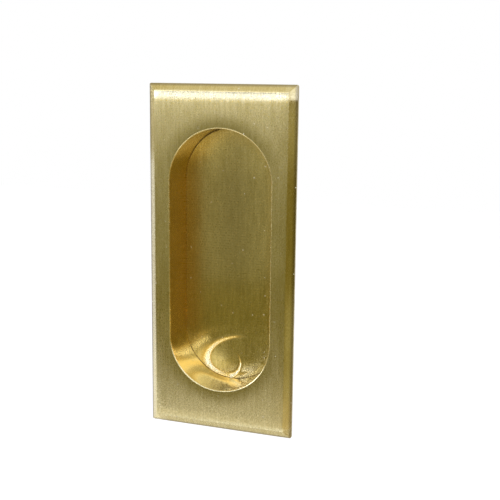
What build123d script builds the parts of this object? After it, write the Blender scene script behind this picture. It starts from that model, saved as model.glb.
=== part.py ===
from build123d import *
import os
from math import atan2, degrees

os.makedirs("parts", exist_ok=True)

# Flush pull for a sliding or pocket door: a bevelled rectangular plate, pierced by a tall round-ended
# recess for the fingers. The plate and the recess wall are one brass body. The recess floor is a
# second piece, brushed flat before it was let in from behind.
# X is across the pull and Z is up it. Y points into the door, and y = 0 is the plate's rear face,
# where it seats on the door, so the front face is at y = -plate_thickness.

# Plate, in millimetres
plate_height = 101.6
plate_width = 44.45
plate_thickness = 2.5
plate_edge = 0.8
bevel_width = 2.2
corner_radius = 0.6
arris_radius = 0.12

# Recess
recess_height = 76.8
recess_width = 30.9
recess_depth = 12.2
lip_radius = 0.35

# Wall behind the plate, and the floor plate let into it
wall_thickness = 1.6
floor_thickness = 1.6
ledge_width = 0.8
floor_clearance = 0.05
seam_chamfer = 0.2
rear_edge_radius = 0.4
solder_chamfer = 0.3

# Worked out from the dimensions above
bevel_rise = plate_thickness - plate_edge
bevel_taper = degrees(atan2(bevel_width, bevel_rise))
floor_front = recess_depth - plate_thickness
wall_rear = floor_front + floor_thickness

# Plate with its recess wall
with BuildPart() as pull_body:
    # The plate's straight edge, with the rear face on the door
    with BuildSketch(Plane.XZ):
        Rectangle(plate_width, plate_height)
    extrude(amount=plate_edge)

    # Four bevels rise from that edge to the front face and meet on crisp mitres
    with BuildSketch(Plane.XZ.offset(plate_edge)):
        Rectangle(plate_width, plate_height)
    extrude(amount=bevel_rise, taper=bevel_taper)

    # The four outer corners are eased, which trims the foot of each mitre
    fillet(pull_body.edges().filter_by(Axis.Y), radius=corner_radius)

    # The long edges of the sides and of the face lose their sharpness in finishing
    side_edges = pull_body.edges().filter_by(GeomType.LINE).group_by(Axis.Y)[1]
    fillet(side_edges, radius=arris_radius)
    face_edges = pull_body.faces().sort_by(Axis.Y)[0].edges()
    fillet(face_edges, radius=arris_radius)

    # The recess wall stands behind the plate
    with BuildSketch(Plane.XZ):
        SlotOverall(recess_height + 2 * wall_thickness, recess_width + 2 * wall_thickness, rotation=90)
    extrude(amount=-wall_rear)

    # The recess goes right through the plate and the wall
    with BuildSketch(Plane.XZ.offset(plate_thickness)):
        SlotOverall(recess_height, recess_width, rotation=90)
    extrude(amount=-(plate_thickness + wall_rear), mode=Mode.SUBTRACT)

    # A rebate at the rear holds the floor plate, and leaves a ledge for it to seat on
    with BuildSketch(Plane.XZ.offset(-floor_front)):
        SlotOverall(recess_height + 2 * ledge_width, recess_width + 2 * ledge_width, rotation=90)
    extrude(amount=-floor_thickness, mode=Mode.SUBTRACT)

    # The lip of the recess is rounded over, and catches the light as a thin bright line
    lip_edges = pull_body.faces().sort_by(Axis.Y)[0].inner_wires()[0].edges()
    fillet(lip_edges, radius=lip_radius)

    # The ledge's inner edge is relieved, which draws a fine dark line round the floor
    ledge = pull_body.faces().filter_by(Plane.XZ).filter_by_position(Axis.Y, floor_front, floor_front)[0]
    chamfer(ledge.inner_wires()[0].edges(), length=seam_chamfer)

    # The wall's rear edge is eased to start into the mortise
    rear_face = pull_body.faces().sort_by(Axis.Y)[-1]
    fillet(rear_face.outer_wire().edges(), radius=rear_edge_radius)

# Floor of the recess
with BuildPart() as floor_plate:
    # It seats on the ledge, with a little clearance all round in the rebate
    with BuildSketch(Plane.XZ.offset(-floor_front)):
        SlotOverall(
            recess_height + 2 * (ledge_width - floor_clearance),
            recess_width + 2 * (ledge_width - floor_clearance),
            rotation=90,
        )
    extrude(amount=-floor_thickness)

    # The rear edge is chamfered, where the solder runs in
    rear_edges = floor_plate.faces().sort_by(Axis.Y)[-1].edges()
    chamfer(rear_edges, length=solder_chamfer)

pull_body.part.label = "pull_body"
floor_plate.part.label = "floor_plate"

export_step(pull_body.part, "parts/pull_body.step")
export_step(floor_plate.part, "parts/floor_plate.step")

for name in (pull_body, floor_plate):
    size = name.part.bounding_box().size
    print(name.part.label, round(size.X, 2), round(size.Y, 2), round(size.Z, 2))
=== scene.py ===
# %% [markdown]
# # A satin brass flush pull
# The real thing is a bevelled brass plate with a deep round-ended recess for the fingers. Its shape is
# settled by the frame, so this lesson is about finish: how a few treatments of one metal, and the room
# that it reflects, make a plain shape read as brass. The frame comes first.

# %% Load the frame
import math
import bpy
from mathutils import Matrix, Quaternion, Vector


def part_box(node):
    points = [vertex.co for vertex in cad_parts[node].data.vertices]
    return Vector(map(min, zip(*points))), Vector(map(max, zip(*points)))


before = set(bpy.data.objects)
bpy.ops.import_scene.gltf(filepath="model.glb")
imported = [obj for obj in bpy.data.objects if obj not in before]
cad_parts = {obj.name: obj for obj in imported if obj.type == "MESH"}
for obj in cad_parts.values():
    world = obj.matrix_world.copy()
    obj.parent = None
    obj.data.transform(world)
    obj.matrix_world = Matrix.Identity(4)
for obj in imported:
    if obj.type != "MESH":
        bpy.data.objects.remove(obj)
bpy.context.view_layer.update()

MM = 0.001
pull_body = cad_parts["pull_body"]
floor_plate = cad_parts["floor_plate"]


def box_mm(name):
    """The lowest and the highest corner of a piece, to a hundredth of a millimetre."""
    return [[round(value / MM, 2) for value in corner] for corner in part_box(name)]


body_low, body_high = box_mm("pull_body")
floor_low, floor_high = box_mm("floor_plate")
print("pull body from", body_low, "to", body_high, "mm")
print("floor plate from", floor_low, "to", floor_high, "mm")

# %% [markdown]
# ## Camera
# The photograph was taken close to the pull, from its right and from a little above. So its top looks
# wider than its foot, and the left and lower walls of the recess show. A camera is easiest to describe
# as an orbit: a point that it looks at, two angles, a small roll and a distance.

# %% Camera
VIEW_TARGET = Vector((8.57, 0.0, 4.10)) * MM
VIEW_AZIMUTH = math.radians(19.345)
VIEW_ELEVATION = math.radians(10.83)
VIEW_ROLL = math.radians(0.65)
VIEW_DISTANCE = 257.4 * MM
LENS_MM = 64.77
SENSOR_MM = 36.0


def orbit_direction(azimuth, elevation):
    """Unit vector from the pull towards a place at this azimuth, counted from the front to the right."""
    flat = math.cos(elevation)
    return Vector((math.sin(azimuth) * flat, -math.cos(azimuth) * flat, math.sin(elevation)))


camera_data = bpy.data.cameras.new("camera")
camera_data.sensor_width = SENSOR_MM
camera_data.lens = LENS_MM
camera_data.clip_start = 0.01
camera = bpy.data.objects.new("camera", camera_data)
bpy.context.scene.collection.objects.link(camera)
towards_camera = orbit_direction(VIEW_AZIMUTH, VIEW_ELEVATION)
camera.rotation_mode = "QUATERNION"
camera.location = VIEW_TARGET + towards_camera * VIEW_DISTANCE
camera.rotation_quaternion = towards_camera.to_track_quat("Z", "Y") @ Quaternion((0, 0, 1), VIEW_ROLL)
bpy.context.scene.camera = camera
bpy.context.scene.view_settings.view_transform = "Standard"
print("camera at", [round(v / MM, 1) for v in camera.location], "mm")

# %% [markdown]
# ## Wires
# Materials are written in nodes, and most of the nodes here do sums. A small class stands for one wire
# between two nodes. Adding, subtracting or multiplying wires adds the Math node that does it, so a
# formula can be read as a formula.

# %% Wires


class Wire:
    """A number on its way from one node to the next."""

    def __init__(self, tree, socket):
        self.tree = tree
        self.socket = socket

    def math(self, operation, *others):
        node = self.tree.nodes.new("ShaderNodeMath")
        node.operation = operation
        for socket, value in zip(node.inputs, (self, *others)):
            plug(self.tree, value, socket)
        return Wire(self.tree, node.outputs[0])

    def __add__(self, other):
        return self.math("ADD", other)

    def __sub__(self, other):
        return self.math("SUBTRACT", other)

    def __mul__(self, other):
        return self.math("MULTIPLY", other)

    def __truediv__(self, other):
        return self.math("DIVIDE", other)

    def clipped(self, lowest, highest):
        return self.math("MAXIMUM", lowest).math("MINIMUM", highest)

    def spread(self, start, end, first=0.0, last=1.0):
        """Runs from the first value to the last while this wire runs from start to end."""
        node = self.tree.nodes.new("ShaderNodeMapRange")
        values = {"Value": self, "From Min": start, "From Max": end, "To Min": first, "To Max": last}
        for name, value in values.items():
            plug(self.tree, value, node.inputs[name])
        return Wire(self.tree, node.outputs["Result"])

    def bell(self, width):
        """1 where this wire is 0, and falling off over the width on either side."""
        share = self / width
        return (share * share * -1.0).math("EXPONENT")


# %% [markdown]
# A wire, a number or a colour is plugged into a socket in the same way. The nodes that don't do sums get a
# small function each: a vector put together from three numbers, a noise, and a mix of two colours.

# %% Plugs and nodes


def plug(tree, value, socket):
    if isinstance(value, Wire):
        tree.links.new(value.socket, socket)
    else:
        socket.default_value = value


def vector_node(tree, x, y, z):
    node = tree.nodes.new("ShaderNodeCombineXYZ")
    for value, socket in zip((x, y, z), node.inputs):
        plug(tree, value, socket)
    return node.outputs[0]


def noise_node(tree, vector, scale, detail, roughness):
    node = tree.nodes.new("ShaderNodeTexNoise")
    node.inputs["Scale"].default_value = scale
    node.inputs["Detail"].default_value = detail
    node.inputs["Roughness"].default_value = roughness
    tree.links.new(vector, node.inputs["Vector"])
    return Wire(tree, node.outputs["Fac"])


def mix_colours(tree, share, first, second):
    """The first colour where the share is 0, and the second where it is 1."""
    node = tree.nodes.new("ShaderNodeMix")
    node.data_type = "RGBA"
    plug(tree, share, node.inputs["Factor"])
    for name, colour in (("A", first), ("B", second)):
        socket = next(s for s in node.inputs if s.name == name and s.type == "RGBA")
        if isinstance(colour, Wire):
            plug(tree, colour, socket)
        else:
            socket.default_value = (*colour, 1.0)
    return Wire(tree, next(s for s in node.outputs if s.type == "RGBA"))


# %% [markdown]
# An effect that several materials share is a node group: a small tree with named inputs and outputs, which
# is built once and then placed like any other node, with its own values each time.

# %% Groups


def new_group(name, inputs, outputs):
    """A node group, its inputs as wires by name, and its output node."""
    group = bpy.data.node_groups.new(name, "ShaderNodeTree")
    for socket_name, value in inputs:
        socket = group.interface.new_socket(socket_name, in_out="INPUT", socket_type="NodeSocketFloat")
        socket.default_value = value
    for socket_name in outputs:
        kind = "Vector" if socket_name == "Normal" else "Float"
        group.interface.new_socket(socket_name, in_out="OUTPUT", socket_type="NodeSocket" + kind)
    ins = group.nodes.new("NodeGroupInput")
    outs = group.nodes.new("NodeGroupOutput")
    return group, {socket.name: Wire(group, socket) for socket in ins.outputs if socket.name}, outs


def use_group(tree, group, **values):
    """Adds the group to a tree, and gives its outputs as wires by name."""
    node = tree.nodes.new("ShaderNodeGroup")
    node.node_tree = group
    for name, value in values.items():
        plug(tree, value, node.inputs[name.replace("_", " ")])
    return {socket.name: Wire(tree, socket) for socket in node.outputs}


def give_out(group, outs, **results):
    for name, wire in results.items():
        plug(group, wire, outs.inputs[name.replace("_", " ")])


def describe(group):
    """Prints what a group takes and what it gives."""
    sockets = group.interface.items_tree
    takes = [socket.name for socket in sockets if socket.in_out == "INPUT"]
    gives = [socket.name for socket in sockets if socket.in_out == "OUTPUT"]
    print(group.name, "takes", takes, "and gives", gives)


# %% [markdown]
# ## Where on the pull
# Buffing wheels, dust, painted highlights and painted shade all work by place: near the outer edge of the
# face, round the lip of the recess, in the corner where wall and floor meet. Masks for this could be
# painted on the mesh, but a formula needs no unwrapping and stays sharp close up. One group measures the
# distances, in millimetres.
# Side and End are counted from the outer edges of the flat face, Border from those of the plate, Rim
# outward from the wall of the recess, and Corner from the seam of its floor. The boxes of the two pieces
# give the outer sizes and the depth, and the sizes of bevel and recess are named.

# %% Place group
BEVEL_WIDTH_MM = 2.2
RECESS_WIDTH_MM = 30.9
RECESS_HEIGHT_MM = 76.8
FACE_HALF_WIDTH_MM = body_high[0] - BEVEL_WIDTH_MM
FACE_HALF_HEIGHT_MM = body_high[2] - BEVEL_WIDTH_MM
RECESS_HALF_WIDTH_MM = RECESS_WIDTH_MM / 2
RECESS_HALF_STRAIGHT_MM = RECESS_HEIGHT_MM / 2 - RECESS_HALF_WIDTH_MM
FLOOR_DEPTH_MM = floor_low[1]


def make_place_group():
    names = ("X", "Depth", "Z", "Side", "End", "Border", "Rim", "Corner", "Outward X", "Outward Z")
    group, ins, outs = new_group("place_on_pull", (), names)
    texture = group.nodes.new("ShaderNodeTexCoord")
    parts = group.nodes.new("ShaderNodeSeparateXYZ")
    group.links.new(texture.outputs["Object"], parts.inputs[0])
    x, depth, z = (Wire(group, socket) / MM for socket in parts.outputs)
    beyond = z - z.clipped(-RECESS_HALF_STRAIGHT_MM, RECESS_HALF_STRAIGHT_MM)
    from_middle = (x * x + beyond * beyond).math("SQRT").math("MAXIMUM", 0.001)
    rim = from_middle - RECESS_HALF_WIDTH_MM
    above_floor = depth - FLOOR_DEPTH_MM
    side = x.math("ABSOLUTE") * -1.0 + FACE_HALF_WIDTH_MM
    end = z.math("ABSOLUTE") * -1.0 + FACE_HALF_HEIGHT_MM
    give_out(
        group, outs, X=x, Depth=depth, Z=z,
        Side=side, End=end, Border=side.math("MINIMUM", end) + BEVEL_WIDTH_MM,
        Rim=rim, Corner=(rim * rim + above_floor * above_floor).math("SQRT"),
        Outward_X=x / from_middle, Outward_Z=beyond / from_middle,
    )
    return group


place_group = make_place_group()
describe(place_group)

# %% [markdown]
# ## Leaning normals
# A buffed face is never quite flat. A finer mesh could hold its dips, but none is deeper than a few tenths
# of a millimetre, and the shape is settled. So they are drawn by leaning the surface normal sideways by a
# slope, the tangent of an angle. This function adds such a lean to a normal. It acts on surfaces that
# face forward, so walls and edges keep theirs.

# %% Leaning normals
FACING_LIMITS = (-0.6, -0.75)


def leaned_normal(tree, slope_x, slope_z):
    """The surface normal, leaned to the right and upwards by these slopes where it faces forward."""
    geometry = tree.nodes.new("ShaderNodeNewGeometry")
    parts = tree.nodes.new("ShaderNodeSeparateXYZ")
    tree.links.new(geometry.outputs["Normal"], parts.inputs[0])
    forward = Wire(tree, parts.outputs["Y"]).spread(*FACING_LIMITS)
    total = tree.nodes.new("ShaderNodeVectorMath")
    tree.links.new(geometry.outputs["Normal"], total.inputs[0])
    tree.links.new(vector_node(tree, forward * slope_x, 0.0, forward * slope_z), total.inputs[1])
    unit = tree.nodes.new("ShaderNodeVectorMath")
    unit.operation = "NORMALIZE"
    tree.links.new(total.outputs[0], unit.inputs[0])
    return Wire(tree, unit.outputs[0])


# %% [markdown]
# ## The face rolls off at its edges
# A buffing wheel rolls over the outer edge of the face, where it makes the white band at the top, and dips
# a little into the mouth of the recess, which makes the dark halo round it. The left bevel is as flat as a
# stone would leave it, so the roll leaves it out.

# %% Buffed face group
EDGE_WIDTH_MM = 3.3
ARRIS_WIDTH_MM = 0.7
RIM_WIDTH_MM = 5.5


def make_face_group():
    settings = (("Edge Slope", 0.15), ("Arris Slope", 0.35), ("Rim Slope", 0.03))
    group, ins, outs = new_group("buffed_face", settings, ("Normal",))
    place = use_group(group, place_group)

    def rolled(inside, other, arris_slope):
        """Outward slope growing towards an edge, and on the bevel beyond it an inward one that fades."""
        bevel = inside.math("LESS_THAN", 0.0) * inside.math("LESS_THAN", other)
        edge = inside.spread(EDGE_WIDTH_MM, 0.0)
        arris = inside.spread(-ARRIS_WIDTH_MM, 0.0) * bevel
        return edge * edge * (bevel * -1.0 + 1.0) * ins["Edge Slope"] - arris * arris_slope

    top_arris = place["Z"].math("GREATER_THAN", 0.0) * ins["Arris Slope"]
    side = rolled(place["Side"], place["End"], ins["Arris Slope"] * 0.5)
    left_bevel = place["Side"].math("LESS_THAN", 0.0) * place["X"].math("LESS_THAN", 0.0)
    end = rolled(place["End"], place["Side"], top_arris) * (left_bevel * -1.0 + 1.0)
    rim = place["Rim"].spread(RIM_WIDTH_MM, 0.0)
    inward = rim * rim * ins["Rim Slope"]
    lean_x = side * place["X"].math("SIGN") - inward * place["Outward X"]
    lean_z = end * place["Z"].math("SIGN") - inward * place["Outward Z"]
    normal = leaned_normal(group, lean_x, lean_z)
    give_out(group, outs, Normal=normal)
    return group


face_group = make_face_group()
describe(face_group)

# %% [markdown]
# ## The swirl at the foot of the floor
# A bright swirl lies at the foot of the floor: an open ring with a hook inside it. It is most likely light
# that the round wall throws there. Following such light takes very many samples, so the swirl is drawn as a
# mark which leans upwards and catches a window, and on the floor its fringe also gets a painted highlight.
# The ring is sharp on its inner side and fades outward, like a breaking wave. It is highest at its spine
# and thins out along two arms. All angles are counted from the right, anticlockwise. Fine scratches lean a
# little more or less, which softens the mark.

# %% Ring of the swirl
RING_MIDDLE_MM = (1.5, -31.0)
RING_HALF_SIZE_MM = (9.6, 5.8)
RING_TURN = math.radians(16)
RING_SPINE = math.radians(185)
UPPER_ARM = math.radians(135)
LOWER_ARM = math.radians(110)
RING_FADE_MM = 2.2
HALO_FADE_MM = 2.4
CREST_WIDTH_MM = 0.7
INNER_FADE_MM = 0.7
TIP_STRENGTH = 0.56


def ring_mark(place, ring_slope, halo_slope):
    """Slope of the open ring: a crest, and a broader halo outside it."""
    dx = place["X"] - RING_MIDDLE_MM[0]
    dz = place["Z"] - RING_MIDDLE_MM[1]
    along = dx * math.cos(RING_TURN) + dz * math.sin(RING_TURN)
    up = dz * math.cos(RING_TURN) - dx * math.sin(RING_TURN)
    u = along / RING_HALF_SIZE_MM[0]
    v = up / RING_HALF_SIZE_MM[1]
    steepness = ((u * u / RING_HALF_SIZE_MM[0] ** 2) + (v * v / RING_HALF_SIZE_MM[1] ** 2)).math("SQRT")
    outside = (u * u + v * v - 1.0) / (steepness.math("MAXIMUM", 0.001) * 2.0)
    turn = (v.math("ARCTAN2", u) - RING_SPINE).math("WRAP", math.pi, -math.pi)
    arms = turn.spread(-UPPER_ARM, 0.0) * turn.spread(LOWER_ARM, 0.0)
    strength = arms.spread(0.0, 0.9, TIP_STRENGTH, 1.0) * arms.spread(0.0, 0.25)
    inner = outside.math("MINIMUM", 0.0).bell(INNER_FADE_MM)
    outer = (outside - arms * CREST_WIDTH_MM).math("MAXIMUM", 0.0)
    crest = (outer / (arms * arms * RING_FADE_MM + 0.2) * -1.0).math("EXPONENT") * ring_slope
    halo = outer.bell(arms * arms * HALO_FADE_MM + 0.4) * halo_slope
    return (crest + halo) * inner * strength


# %% [markdown]
# The hook is an arc of its own inside the ring, broad at its foot. The two could be added up, but they
# would be too bright where they meet. So the group takes the steeper of ring and hook at each place as the
# slope of the mark.

# %% Hook and swirl group
HOOK_MIDDLE_MM = (-2.1, -33.4)
HOOK_RADIUS_MM = 4.6
HOOK_START = math.radians(-75)
HOOK_END = math.radians(32)
HOOK_WIDTH_MM = 0.3
HOOK_FOOT_MM = 1.6
HOOK_START_FADE = 0.2
HOOK_END_FADE = 0.5
SCRATCHES_PER_MM = 20.0
SCRATCH_RANGE = (0.88, 1.12)


def hook_mark(place, slope):
    """Slope of the hook: an arc that is broad at its foot, and thin towards its end."""
    dx = place["X"] - HOOK_MIDDLE_MM[0]
    dz = place["Z"] - HOOK_MIDDLE_MM[1]
    off_the_arc = (dx * dx + dz * dz).math("SQRT") - HOOK_RADIUS_MM
    turn = dz.math("ARCTAN2", dx)
    foot = turn.spread(HOOK_END, HOOK_START)
    arc = off_the_arc.bell(foot * foot * HOOK_FOOT_MM + HOOK_WIDTH_MM) * foot.spread(0.0, 0.35, 0.6, 1.0)
    started = turn.spread(HOOK_START - HOOK_START_FADE, HOOK_START)
    not_ended = turn.spread(HOOK_END + HOOK_END_FADE, HOOK_END)
    return arc * (started * not_ended) * slope


def make_swirl_group():
    settings = (("Ring Slope", 0.055), ("Halo Slope", 0.185), ("Hook Slope", 0.235))
    group, ins, outs = new_group("floor_swirl", settings, ("Normal", "Mark"))
    place = use_group(group, place_group)
    ring = ring_mark(place, ins["Ring Slope"], ins["Halo Slope"])
    mark = ring.math("MAXIMUM", hook_mark(place, ins["Hook Slope"]))
    spot = vector_node(group, place["X"], place["Z"], 0.0)
    scratches = noise_node(group, spot, SCRATCHES_PER_MM, 0.0, 0.5)
    lean = mark * scratches.spread(0.3, 0.7, *SCRATCH_RANGE)
    give_out(group, outs, Normal=leaned_normal(group, 0.0, lean), Mark=mark)
    return group


swirl_group = make_swirl_group()
describe(swirl_group)

# %% [markdown]
# ## Brushed grain
# A linishing belt leaves long fine scratches, all one way. An image of scratches would do, but it repeats
# and blurs close up, so stretched noises make them: scratches, broader soft streaks, and a roughness finer
# than the eye can part. An even speckle and a cloudy drift come from the metal itself. Every satin finish
# uses these, so they are one group.

# %% Brushed grain group
FINE_WIDTH_MM = 0.05
FINE_LENGTH_MM = 0.8
SPECKLES_PER_MM = 1.6
CLOUDS_PER_MM = 0.09


def make_grain_group():
    settings = (("Width", 0.5), ("Length", 8.0), ("Seed", 0.0))
    names = ("Scratch", "Streak", "Fine", "Speckle", "Cloud")
    group, ins, outs = new_group("brushed_grain", settings, names)
    place = use_group(group, place_group)

    def stretched(width, length):
        return vector_node(group, place["X"] / width, place["Z"] / length, ins["Seed"])

    plain = vector_node(group, place["X"], place["Depth"], place["Z"])
    give_out(
        group, outs,
        Scratch=noise_node(group, stretched(ins["Width"], ins["Length"]), 1.0, 3.0, 0.6),
        Streak=noise_node(group, stretched(ins["Width"] * 4.0, ins["Length"] * 2.0), 1.0, 2.0, 0.5),
        Fine=noise_node(group, stretched(FINE_WIDTH_MM, FINE_LENGTH_MM), 1.0, 0.0, 0.5),
        Speckle=noise_node(group, plain, SPECKLES_PER_MM, 1.0, 0.5),
        Cloud=noise_node(group, plain, CLOUDS_PER_MM, 4.0, 0.6),
    )
    return group


grain_group = make_grain_group()
describe(grain_group)

# %% [markdown]
# ## Dust and painted shade in the seam
# Close up, a few specks of pale dust lie on the brass, each two to four tenths of a millimetre across.
# They come from a pattern of random cells, most of which stay empty. In the corner where the wall meets the
# floor, a dark line is painted shade. It is thickest at the upper end, where it also paints the dark
# reflection in the narrow strip of wall seen there.

# %% Dust and seam groups
DUST_CELL_MM = 3.4
DUST_SHARE = 0.17
DUST_RADIUS_MM = (0.09, 0.2)
PATCHES_PER_MM = 0.35


def make_dust_group():
    group, ins, outs = new_group("dust_specks", (("Seed", 0.0),), ("Speck",))
    place = use_group(group, place_group)
    cells = group.nodes.new("ShaderNodeTexVoronoi")
    cells.voronoi_dimensions = "2D"
    cells.inputs["Scale"].default_value = 1.0 / DUST_CELL_MM
    group.links.new(vector_node(group, place["X"] + ins["Seed"], place["Z"], 0.0), cells.inputs["Vector"])
    random = group.nodes.new("ShaderNodeSeparateColor")
    group.links.new(cells.outputs["Color"], random.inputs[0])
    distance = Wire(group, cells.outputs["Distance"]) * DUST_CELL_MM
    radius = Wire(group, random.outputs[1]).spread(0.0, 1.0, *DUST_RADIUS_MM)
    chosen = Wire(group, random.outputs[0]).math("LESS_THAN", DUST_SHARE)
    give_out(group, outs, Speck=(distance / radius).spread(1.0, 0.6) * chosen)
    return group


def make_seam_group():
    # Painted shade in the corner where wall and floor meet, widest at the upper end, where it also paints a
    # dark reflection.
    group, ins, outs = new_group("painted_shade_seam", (("Width", 0.5),), ("Dirt",))
    place = use_group(group, place_group)
    spot = vector_node(group, place["X"], place["Depth"], place["Z"])
    patches = noise_node(group, spot, PATCHES_PER_MM, 3.0, 0.6)
    width = ins["Width"] * patches.spread(0.3, 0.7, 0.6, 1.4)
    at_ends = place["Outward Z"].math("ABSOLUTE").spread(0.0, 0.5, 0.3, 1.0)
    at_top = place["Outward Z"].spread(0.3, 0.9, 1.0, 2.4)
    give_out(group, outs, Dirt=(place["Corner"] / (width * at_top)).spread(1.0, 0.3) * at_ends)
    return group


dust_group = make_dust_group()
seam_group = make_seam_group()
describe(dust_group)
describe(seam_group)

# %% [markdown]
# ## Satin brass
# Brushed metal scatters light across its scratches and hardly at all along them. The Principled shader's
# anisotropy does that when its tangent lies across the grain. The fine noise then varies the roughness
# within each pixel, which gives the highlights their long soft tails. Some dust and, on the floor, painted
# shade along the seam lie on top.

# %% Satin brass
DUST_COLOUR = (1.0, 0.94, 0.7)
SEAM_SHADE_COLOUR = (0.16, 0.10, 0.03)
TARNISH_AND_SHADE_COLOUR = (0.42, 0.36, 0.22)
PAINTED_HIGHLIGHT_COLOUR = (0.93, 0.70, 0.26)
SCRATCH_HEIGHT_MM = 0.0004
SPECK_HEIGHT_MM = 0.05


def new_material(name):
    material = bpy.data.materials.new(name)
    material.use_nodes = True
    tree = material.node_tree
    shader = tree.nodes["Principled BSDF"]
    shader.inputs["Metallic"].default_value = 1.0
    return material, tree, shader


def satin_brass(name, treatment, deep, bright, roughness, seed, seam_shade_mm):
    """Brushed brass. The treatment is a function that gives what was done to this surface: its buffed
    normal, where a painted highlight tints it gold, and where it is darker, which on the floor is painted
    shade."""
    material, tree, shader = new_material(name)
    grain = use_group(tree, grain_group, Seed=seed)
    tone = grain["Scratch"] * 0.5 + grain["Streak"] * 0.2 + grain["Speckle"] * 0.2 + grain["Cloud"] * 0.1
    colour = mix_colours(tree, tone.spread(0.41, 0.59), deep, bright)
    normal, painted_highlight, tarnish_and_shade = treatment(tree)
    # Painted highlight: a gold tint where the treatment marks light thrown by the wall.
    colour = mix_colours(tree, painted_highlight, colour, PAINTED_HIGHLIGHT_COLOUR)
    # Darker where the treatment says: on the floor this is painted shade.
    colour = mix_colours(tree, tarnish_and_shade, colour, TARNISH_AND_SHADE_COLOUR)
    speck = use_group(tree, dust_group, Seed=seed * 3.0)["Speck"]
    # Painted shade along the seam between wall and floor.
    seam = use_group(tree, seam_group, Width=seam_shade_mm)["Dirt"]
    colour = mix_colours(tree, seam, colour, SEAM_SHADE_COLOUR)
    colour = mix_colours(tree, speck, colour, DUST_COLOUR)
    plug(tree, colour, shader.inputs["Base Color"])
    plug(tree, speck * -1.0 + 1.0, shader.inputs["Metallic"])
    rough = grain["Fine"].spread(0.25, 0.75, *roughness) + grain["Scratch"].spread(0.3, 0.7, -0.02, 0.02)
    plug(tree, rough.math("MAXIMUM", speck * 0.8), shader.inputs["Roughness"])
    shader.inputs["Anisotropic"].default_value = 1.0
    tree.links.new(vector_node(tree, 1.0, 0.0, 0.0), shader.inputs["Tangent"])
    relief = tree.nodes.new("ShaderNodeBump")
    relief.inputs["Distance"].default_value = MM
    plug(tree, grain["Scratch"] * SCRATCH_HEIGHT_MM + speck * SPECK_HEIGHT_MM, relief.inputs["Height"])
    plug(tree, normal, relief.inputs["Normal"])
    tree.links.new(relief.outputs["Normal"], shader.inputs["Normal"])
    return material


# %% [markdown]
# The three satin surfaces differ in what was done to them. Face and bevels are buffed, and darker along the
# outer border of the plate. The bevels have a finer, more golden finish. The floor plate was brushed before
# it was let in, so its grain runs right into the round ends. Its swirl and a band beside the wall get a
# painted highlight, a gold tint for the light that the wall throws there, and its upper middle is a little
# darker with painted shade.

# %% Treatments of satin brass
ANGLE_OF_EDGE = math.radians(9.5)
ANGLE_OF_RIM = math.radians(4.5)
BORDER_MM = (0.9, 0.3)
PAINTED_SWIRL_FROM = (0.03, 0.14)
PAINTED_SWIRL_TO = (0.24, 0.19)
WALL_GLOW_WIDTH_MM = 6.0
WALL_GLOW_FROM_MM = (-26.0, -20.0)
SHADE_HALF_WIDTH_MM = 6.0
SHADE_FROM_MM = (-14.0, 4.0)


def buffed_face(tree):
    slopes = {"Edge_Slope": math.tan(ANGLE_OF_EDGE), "Rim_Slope": math.tan(ANGLE_OF_RIM)}
    border = use_group(tree, place_group)["Border"].spread(*BORDER_MM, 0.0, 0.85)
    return use_group(tree, face_group, **slopes)["Normal"], 0.0, border


def swirled_floor(tree):
    swirl = use_group(tree, swirl_group)
    # Painted highlight: a gold tint on the fringe of the swirl, the light that the round wall throws there.
    painted_swirl = swirl["Mark"].spread(*PAINTED_SWIRL_FROM) * swirl["Mark"].spread(*PAINTED_SWIRL_TO)
    place = use_group(tree, place_group)
    # Painted light that the wall throws on the floor: a gold band beside the wall, fading out towards its
    # foot.
    painted_wall_glow = place["Corner"].spread(WALL_GLOW_WIDTH_MM, 1.0, 0.0, 0.5) * place["Z"].spread(*WALL_GLOW_FROM_MM)
    # Painted shade: the upper middle of the floor is darker.
    painted_shade = place["X"].bell(SHADE_HALF_WIDTH_MM) * place["Z"].spread(*SHADE_FROM_MM, 0.0, 0.35)
    return swirl["Normal"], painted_swirl.math("MAXIMUM", painted_wall_glow), painted_shade


# %% Satin finishes
satin_face = satin_brass(
    "satin_brass_face", buffed_face, deep=(0.80, 0.71, 0.38), bright=(0.98, 0.89, 0.55),
    roughness=(0.12, 0.52), seed=0.0, seam_shade_mm=0.01,
)
satin_bevel = satin_brass(
    "satin_brass_bevel", buffed_face, deep=(0.82, 0.69, 0.32), bright=(0.94, 0.82, 0.44),
    roughness=(0.12, 0.34), seed=4.0, seam_shade_mm=0.01,
)
satin_floor = satin_brass(
    "brushed_brass_floor", swirled_floor, deep=(0.74, 0.66, 0.36), bright=(0.98, 0.89, 0.57),
    roughness=(0.12, 0.30), seed=7.0, seam_shade_mm=0.16,
)
print("satin finishes:", satin_face.name, satin_bevel.name, satin_floor.name)

# %% [markdown]
# ## Polished brass
# The wall is polished, so it mirrors the room and the floor beside it, and a double reflection turns brass
# orange. Faint lines run along its depth, as a tool that is pushed through would leave them. Towards the
# round ends it is painted paler, a painted reflection of the paler light the ends mirror, and towards its
# lower end it is a little darker. The lip is paler still, a painted highlight: the cream colour of the
# highlight along its rounded edge.

# %% Polished finishes
LINES_PER_MM = 2.5
LINE_HEIGHT_MM = 0.0006


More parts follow.
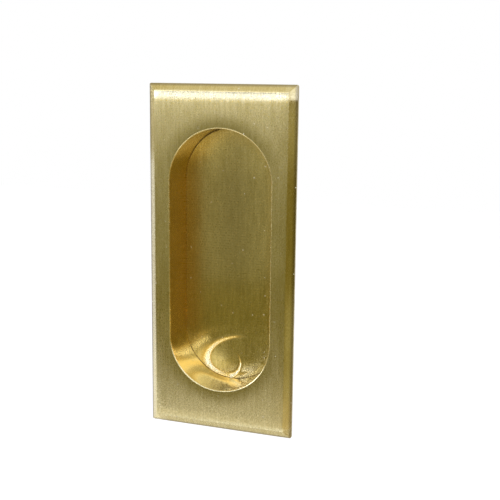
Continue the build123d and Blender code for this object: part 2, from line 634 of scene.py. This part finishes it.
def polished_brass(name, deep, bright, pale_ends, roughness, seam_shade_mm, darker_foot):
    """Polished brass, painted paler towards the ends of the recess as a painted reflection."""
    material, tree, shader = new_material(name)
    place = use_group(tree, place_group)
    round_the_wall = (place["X"] + place["Z"]) * LINES_PER_MM
    along_the_depth = vector_node(tree, round_the_wall, place["Depth"] * 0.15, 0.0)
    lines = noise_node(tree, along_the_depth, 1.0, 3.0, 0.6)
    cloud = use_group(tree, grain_group, Seed=3.0)["Cloud"]
    colour = mix_colours(tree, (lines * 0.5 + cloud * 0.5).spread(0.35, 0.65), deep, bright)
    # Painted reflection: paler towards the round ends of the recess.
    colour = mix_colours(tree, place["Outward Z"].math("ABSOLUTE").spread(0.0, 0.6), colour, pale_ends)
    # Darker towards the lower end of the wall.
    foot = place["Outward Z"].spread(-0.3, -0.7, 0.0, darker_foot)
    colour = mix_colours(tree, foot, colour, TARNISH_AND_SHADE_COLOUR)
    # Painted shade along the seam with the floor.
    seam = use_group(tree, seam_group, Width=seam_shade_mm)["Dirt"]
    plug(tree, mix_colours(tree, seam, colour, SEAM_SHADE_COLOUR), shader.inputs["Base Color"])
    rough = lines.spread(0.3, 0.7, *roughness)
    plug(tree, rough.math("MAXIMUM", seam * 0.5), shader.inputs["Roughness"])
    relief = tree.nodes.new("ShaderNodeBump")
    relief.inputs["Distance"].default_value = MM
    plug(tree, lines * LINE_HEIGHT_MM, relief.inputs["Height"])
    tree.links.new(relief.outputs["Normal"], shader.inputs["Normal"])
    return material


polished_wall = polished_brass(
    "polished_brass_wall", deep=(0.83, 0.57, 0.18), bright=(0.89, 0.64, 0.23), pale_ends=(0.87, 0.70, 0.26),
    roughness=(0.13, 0.20), seam_shade_mm=0.16, darker_foot=0.3,
)
# The lip's paler colour is a painted highlight, the cream of the highlight on its rounded edge.
pale_lip = polished_brass(
    "pale_brass_lip", deep=(0.84, 0.71, 0.32), bright=(0.94, 0.82, 0.42), pale_ends=(0.93, 0.82, 0.44),
    roughness=(0.2, 0.3), seam_shade_mm=0.01, darker_foot=0.0,
)
print("polished finishes:", polished_wall.name, pale_lip.name)

# %% [markdown]
# ## Cut and cast brass
# Nobody polishes what the door hides. So the cut edge of the plate and everything behind it stay as the saw
# and the mould left them: mottled with tarnish, uneven, and rougher where they are darker. Soft solder ran
# round the floor plate, and it is the same finish in grey.

# %% Cut finishes
TARNISH_PER_MM = 0.12
GRIT_PER_MM = 2.2
GRIT_HEIGHT_MM = 0.02


def cut_brass(name, deep, bright, roughness, scale):
    """Metal as it was cut or cast: tarnished in patches, with a fine grit. The scale sets its size."""
    material, tree, shader = new_material(name)
    place = use_group(tree, place_group)
    spot = vector_node(tree, place["X"], place["Depth"] * 4.0, place["Z"])
    tarnish_and_shade = noise_node(tree, spot, TARNISH_PER_MM * scale, 5.0, 0.65)
    grit = noise_node(tree, spot, GRIT_PER_MM * scale, 3.0, 0.6)
    mottle = (tarnish_and_shade * 0.7 + grit * 0.3).spread(0.38, 0.62)
    plug(tree, mix_colours(tree, mottle, deep, bright), shader.inputs["Base Color"])
    plug(tree, mottle.spread(0.0, 1.0, roughness[1], roughness[0]), shader.inputs["Roughness"])
    relief = tree.nodes.new("ShaderNodeBump")
    relief.inputs["Distance"].default_value = MM
    plug(tree, grit * GRIT_HEIGHT_MM, relief.inputs["Height"])
    tree.links.new(relief.outputs["Normal"], shader.inputs["Normal"])
    return material


cut_edge = cut_brass("cut_brass_edge", (0.34, 0.28, 0.15), (0.62, 0.53, 0.30), (0.35, 0.5), 3.0)
rear_brass = cut_brass("rear_brass", (0.42, 0.30, 0.14), (0.74, 0.59, 0.31), (0.32, 0.5), 1.0)
solder = cut_brass("grey_solder", (0.42, 0.41, 0.38), (0.66, 0.65, 0.61), (0.25, 0.45), 2.0)
print("cut finishes:", cut_edge.name, rear_brass.name, solder.name)

# %% [markdown]
# ## Which finish goes where
# One piece of brass carries several finishes. One material with masks could hold them all, but separate
# materials are simpler to read and to change. So the faces are sorted by where they are: face and bevel are
# satin, the wall of the recess is polished and its lip paler as a painted highlight, the edge of the plate
# is cut, and the back left rough. The chamfer round the floor plate's back is where the solder ran in.

# %% Finish by region
LIP_MM = 0.35
PLATE_MM = -body_low[1]
PLATE_EDGE_MM = 0.8
EASING_MM = 0.05
HAIR_MM = 0.01


def rim_distance(point):
    """Distance outward from the wall of the recess, in millimetres."""
    x, z = point.x / MM, point.z / MM
    beyond = z - max(-RECESS_HALF_STRAIGHT_MM, min(RECESS_HALF_STRAIGHT_MM, z))
    return math.hypot(x, beyond) - RECESS_HALF_WIDTH_MM


def finish_of_body(polygon):
    """Depths are counted from the plate's rear face, forward and back alike."""
    x, depth, z = (abs(value) / MM for value in polygon.center)
    in_front = polygon.center.y < 0.0
    if rim_distance(polygon.center) < LIP_MM - HAIR_MM and polygon.normal.y < 0.9:
        return "lip" if in_front and depth > PLATE_MM - LIP_MM else "wall"
    if depth < HAIR_MM or not in_front:
        return "rear"
    if depth < PLATE_EDGE_MM - EASING_MM:
        return "edge"
    return "face" if x < FACE_HALF_WIDTH_MM and z < FACE_HALF_HEIGHT_MM else "bevel"


def finish_of_floor(polygon):
    """The brushed front faces the fingers, and the chamfer leans between the sides and the back."""
    if polygon.normal.y < -0.5:
        return "front"
    return "chamfer" if 0.3 < polygon.normal.y < 0.95 else "rear"


# %% [markdown]
# A mesh has a list of material slots, and each of its faces holds the number of its slot. So the finishes
# go into the slots in a fixed order, and then every face is asked which finish it has.

# %% Dress the pieces


def dress(node, finishes, finish_of):
    """Fills a node's slots with the finishes, and gives each face the one that finish_of names."""
    node.data.materials.clear()
    for finish in finishes.values():
        node.data.materials.append(finish)
    counts = dict.fromkeys(finishes, 0)
    for polygon in node.data.polygons:
        name = finish_of(polygon)
        polygon.material_index = list(finishes).index(name)
        counts[name] += 1
    print("faces of", node.name, "by finish:", counts)


BODY_FINISHES = {
    "face": satin_face, "bevel": satin_bevel, "wall": polished_wall, "lip": pale_lip,
    "edge": cut_edge, "rear": rear_brass,
}
FLOOR_FINISHES = {"front": satin_floor, "rear": rear_brass, "chamfer": solder}
dress(pull_body, BODY_FINISHES, finish_of_body)
dress(floor_plate, FLOOR_FINISHES, finish_of_floor)

# %% [markdown]
# ## Studio
# Metal shows what stands round it. A photograph of a whole room could light it, but nothing in that could
# be moved or named, so the light is built as a small room seen from the pull. Its world is white, which
# also makes the plain background. That world is at full strength only where it is seen, in the camera or
# in the metal, and weaker as a light. The pale floor glows in the same way, so that it stays as pale as
# the background and still takes a shadow.

# %% White world
WORLD_LIGHT = 0.6

world = bpy.data.worlds.new("studio")
bpy.context.scene.world = world
world.use_nodes = True


def seen_directly(tree):
    """1 for what the camera sees straight on, in a reflection or through the piece, else 0."""
    paths = tree.nodes.new("ShaderNodeLightPath")
    camera_ray = Wire(tree, paths.outputs["Is Camera Ray"])
    seen = camera_ray.math("MAXIMUM", Wire(tree, paths.outputs["Is Glossy Ray"]))
    return seen.math("MAXIMUM", Wire(tree, paths.outputs["Is Transmission Ray"]))


background = world.node_tree.nodes["Background"]
background.inputs["Color"].default_value = (1, 1, 1, 1)
strength = seen_directly(world.node_tree) * (1.0 - WORLD_LIGHT) + WORLD_LIGHT
plug(world.node_tree, strength, background.inputs["Strength"])
print("world of strength 1 where it is seen, and", WORLD_LIGHT, "as a light")

# %% Pale floor
PALE_FLOOR_HEIGHT = -0.83
PALE_FLOOR_REACH = 6.0
PALE_FLOOR_GLOW = 0.45


def studio_mesh(name, points, faces):
    """A mesh of the studio, which isn't part of the pull."""
    mesh = bpy.data.meshes.new(name)
    mesh.from_pydata(points, [], faces)
    thing = bpy.data.objects.new(name, mesh)
    bpy.context.scene.collection.objects.link(thing)
    return thing


signs = ((-1, -1), (1, -1), (1, 1), (-1, 1))
corners = [(x * PALE_FLOOR_REACH, y * PALE_FLOOR_REACH, PALE_FLOOR_HEIGHT) for x, y in signs]
pale_floor = studio_mesh("floor", corners, [(0, 1, 2, 3)])
pale_material = bpy.data.materials.new("pale_floor")
pale_material.use_nodes = True
tree = pale_material.node_tree
shader = tree.nodes["Principled BSDF"]
shader.inputs["Base Color"].default_value = (0.9, 0.9, 0.9, 1.0)
shader.inputs["Roughness"].default_value = 0.8
shader.inputs["Emission Color"].default_value = (1, 1, 1, 1)
plug(tree, seen_directly(tree) * PALE_FLOOR_GLOW, shader.inputs["Emission Strength"])
pale_floor.data.materials.append(pale_material)
print("pale floor", -PALE_FLOOR_HEIGHT, "m below the pull's middle")

# %% [markdown]
# The parts of the room are patches of a sphere round the pull, placed by azimuth and elevation in degrees.
# The camera can't see them, but the brass does. A patch's strength is how bright it is beside the white
# world, which is 1.

# %% Room patches
PATCH_COLUMNS = 36
PATCH_ROWS = 12
DAYLIGHT = (0.94, 1.0, 1.35)
WARM_GREY = (1.0, 0.84, 0.5)
CREAM = (1.0, 0.96, 0.86)
TABLE_BROWN = (1.0, 0.8, 0.16)
TABLE_HAZE = (1.0, 0.88, 0.4)
SILL_GOLD = (1.0, 0.88, 0.5)


def room_patch(name, azimuths, elevations, radius, colour, strength, slope=0.0):
    """A glowing patch of a sphere round the pull. The slope tilts its lower edge: degrees per degree."""
    points, faces = [], []
    for row in range(PATCH_ROWS + 1):
        for column in range(PATCH_COLUMNS + 1):
            azimuth = azimuths[0] + (azimuths[1] - azimuths[0]) * column / PATCH_COLUMNS
            lowest = elevations[0] + slope * (azimuth - azimuths[1])
            elevation = lowest + (elevations[1] - lowest) * row / PATCH_ROWS
            points.append(orbit_direction(math.radians(azimuth), math.radians(elevation)) * radius)
    for row in range(PATCH_ROWS):
        for column in range(PATCH_COLUMNS):
            first = row * (PATCH_COLUMNS + 1) + column
            above = first + PATCH_COLUMNS + 1
            faces.append((first, first + 1, above + 1, above))
    patch = studio_mesh(name, points, faces)
    patch.visible_camera = False
    patch.visible_shadow = False
    material = bpy.data.materials.new(name)
    material.use_nodes = True
    tree = material.node_tree
    tree.nodes.remove(tree.nodes["Principled BSDF"])
    glow = tree.nodes.new("ShaderNodeEmission")
    glow.inputs["Color"].default_value = (*colour, 1.0)
    glow.inputs["Strength"].default_value = strength
    tree.links.new(glow.outputs[0], tree.nodes["Material Output"].inputs["Surface"])
    patch.data.materials.append(material)


# %% [markdown]
# A brown table top lies in front, paler towards its far edge. Grey mats lie below it, windows and
# darker walls stand above it, and a pale ceiling closes the room. Nearer patches cover farther ones. The
# table's lower edge slopes as a real table's does when it is seen off centre.

# %% Room
room_patch("table_left", (-92, 10), (-25, 3), 2.00, TABLE_BROWN, 0.18, slope=-0.09)
room_patch("table_right", (10, 130), (-28, 3), 2.00, TABLE_BROWN, 0.18)
room_patch("table_near_right", (45, 130), (-28, -14), 1.99, TABLE_HAZE, 0.36)
room_patch("table_far_right", (40, 130), (-4, 0), 1.99, TABLE_HAZE, 0.34)
room_patch("table_middle", (-92, 10), (-13, -5), 1.99, TABLE_HAZE, 0.26)
room_patch("table_far", (-92, 10), (-5, 3), 1.99, TABLE_HAZE, 0.34)
room_patch("right_ledge", (10, 46), (2, 5), 1.97, WARM_GREY, 0.9)
room_patch("right_wall", (29, 46), (3, 24), 1.98, WARM_GREY, 0.35)
room_patch("middle_wall", (16, 25), (3, 16), 1.96, WARM_GREY, 0.4)
room_patch("right_window", (50, 70), (3, 20), 1.97, DAYLIGHT, 1.4)
room_patch("left_wall", (-150, -87), (-40, 1), 1.98, DAYLIGHT, 1.1)
room_patch("high_left_wall", (-150, -82), (-4, 45), 1.97, CREAM, 0.5)
room_patch("left_mat", (-100, -12), (-48, -24), 1.02, CREAM, 0.85, slope=-0.09)
room_patch("right_mat", (-12, 91), (-34, -22), 1.00, WARM_GREY, 0.57)
room_patch("grey_mat", (-137, -60), (-86, -60), 0.80, CREAM, 0.62)
room_patch("brown_mat", (-60, 180), (-86, -56), 0.80, WARM_GREY, 0.25)
room_patch("right_shade", (42, 150), (-57, -34), 0.98, WARM_GREY, 0.45)
room_patch("left_window", (-80, -42), (2, 22), 1.94, DAYLIGHT, 4.5)
room_patch("left_sill", (-80, -42), (-1, 2), 1.93, CREAM, 1.0)
room_patch("high_right_window", (4, 65), (26, 49), 1.92, DAYLIGHT, 1.7)
room_patch("high_left_window", (-53, -16), (23, 39), 1.90, DAYLIGHT, 1.95)
room_patch("dark_left", (-35, -11), (2, 23), 1.88, WARM_GREY, 0.02)
room_patch("dark_middle", (-22, -5), (22, 31), 1.86, WARM_GREY, 0.3)
room_patch("window_sill", (-45, 18), (0, 3), 1.80, SILL_GOLD, 1.0)
room_patch("middle_window", (-17, -6), (1, 13), 1.82, DAYLIGHT, 4.2)
room_patch("pale_wall", (-6, 18), (1, 13), 1.82, CREAM, 0.95)
room_patch("narrow_window", (25, 31), (7, 14), 1.80, DAYLIGHT, 3.6)
room_patch("ceiling_left", (-100, -56), (45, 80), 1.78, SILL_GOLD, 0.6)
room_patch("ceiling", (-56, 60), (45, 80), 1.78, CREAM, 0.75)
print("meshes with the part, the floor and the room:", len(bpy.data.meshes))

# %% [markdown]
# One broad lamp stands to the right and above. It lights the dust and the floor, and gives the soft
# shadow.

# %% Lamp


def softbox(name, azimuth, elevation, distance, width, height, radiance):
    light = bpy.data.lights.new(name, "AREA")
    light.shape = "RECTANGLE"
    light.size = width
    light.size_y = height
    light.energy = radiance * math.pi * width * height
    lamp = bpy.data.objects.new(name, light)
    bpy.context.scene.collection.objects.link(lamp)
    direction = orbit_direction(math.radians(azimuth), math.radians(elevation))
    lamp.location = direction * distance
    lamp.rotation_mode = "QUATERNION"
    lamp.rotation_quaternion = direction.to_track_quat("Z", "Y")
    lamp.visible_camera = False
    print(name, "of", round(light.energy, 2), "W at", [round(v, 2) for v in lamp.location], "m")


softbox("overhead_softbox", 30, 60, 2.5, 1.0, 1.0, 1.0)
